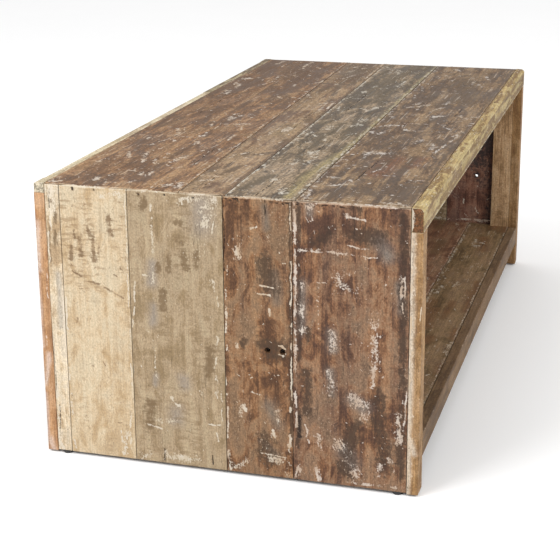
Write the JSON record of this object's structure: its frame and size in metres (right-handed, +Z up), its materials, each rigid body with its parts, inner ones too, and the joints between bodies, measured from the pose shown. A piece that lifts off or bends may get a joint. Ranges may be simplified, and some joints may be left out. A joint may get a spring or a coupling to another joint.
{
  "type": "low open-sided wooden table",
  "caption": "Low box-form table in reclaimed boards: solid plank ends and top, raised plank shelf, both long sides open.",
  "frame": {"origin": "on the floor, under the middle of the table", "axes": "+X along the table's length, from the near end to the far end; +Y across it, towards the left side; +Z up"},
  "size_m": [1.2, 0.6, 0.445],
  "materials": {
    "umber_board": "planed smooth, waxed, old scratches",
    "tan_top_board": "planed smooth, waxed, old scratches",
    "grey_top_board": "weathered grey, waxed",
    "weathered_top_board": "weathered grey, waxed",
    "cream_board": "sawn, old cream paint rubbed back",
    "khaki_board": "sawn, old paint rubbed back",
    "brown_board": "planed, waxed",
    "red_brown_board": "sawn, paint residue, waxed",
    "pale_edge_strip": "rubbed smooth, waxed",
    "lipping_wood": "sawn, waxed",
    "shelf_lip_wood": "rubbed smooth, waxed",
    "olive_shelf_board": "planed, waxed",
    "russet_shelf_board": "planed, waxed",
    "frame_wood": "sawn, unfinished",
    "dowel_wood": "turned",
    "fastener_steel": "dull, slightly rusted",
    "glide_plastic": "moulded black"
  },
  "bodies": {
    "root": {"bearer_screws": "fastener_steel", "far_cleat": "frame_wood", "far_end_board_1": "red_brown_board", "far_end_board_2": "khaki_board", "far_end_board_3": "cream_board", "far_end_board_4": "brown_board", "far_end_nails": "fastener_steel", "far_left_glide": "glide_plastic", "far_left_lipping": "lipping_wood", "far_left_post": "frame_wood", "far_right_glide": "glide_plastic", "far_right_lipping": "lipping_wood", "far_right_post": "frame_wood", "far_shelf_bearer": "frame_wood", "glide_nails": "fastener_steel", "left_rail": "frame_wood", "left_top_strip_far": "pale_edge_strip", "left_top_strip_near": "pale_edge_strip", "near_cleat": "frame_wood", "near_end_board_1": "cream_board", "near_end_board_2": "cream_board", "near_end_board_3": "khaki_board", "near_end_board_4": "brown_board", "near_end_board_5": "red_brown_board", "near_end_nails": "fastener_steel", "near_left_glide": "glide_plastic", "near_left_lipping": "lipping_wood", "near_left_post": "frame_wood", "near_right_glide": "glide_plastic", "near_right_lipping": "lipping_wood", "near_right_post": "frame_wood", "near_shelf_bearer": "frame_wood", "post_dowels": "dowel_wood", "right_rail": "frame_wood", "right_top_strip": "pale_edge_strip", "shelf_batten_1": "frame_wood", "shelf_batten_2": "frame_wood", "shelf_board_1": "olive_shelf_board", "shelf_board_2": "russet_shelf_board", "shelf_board_3": "olive_shelf_board", "shelf_board_4": "russet_shelf_board", "shelf_left_lip": "shelf_lip_wood", "shelf_right_lip": "shelf_lip_wood", "shelf_screws": "fastener_steel", "top_batten_1": "frame_wood", "top_batten_2": "frame_wood", "top_batten_3": "frame_wood", "top_board_1": "umber_board", "top_board_2_far": "tan_top_board", "top_board_2_near": "tan_top_board", "top_board_3": "grey_top_board", "top_board_4": "weathered_top_board", "top_screws": "fastener_steel"}
  },
  "joints": []
}
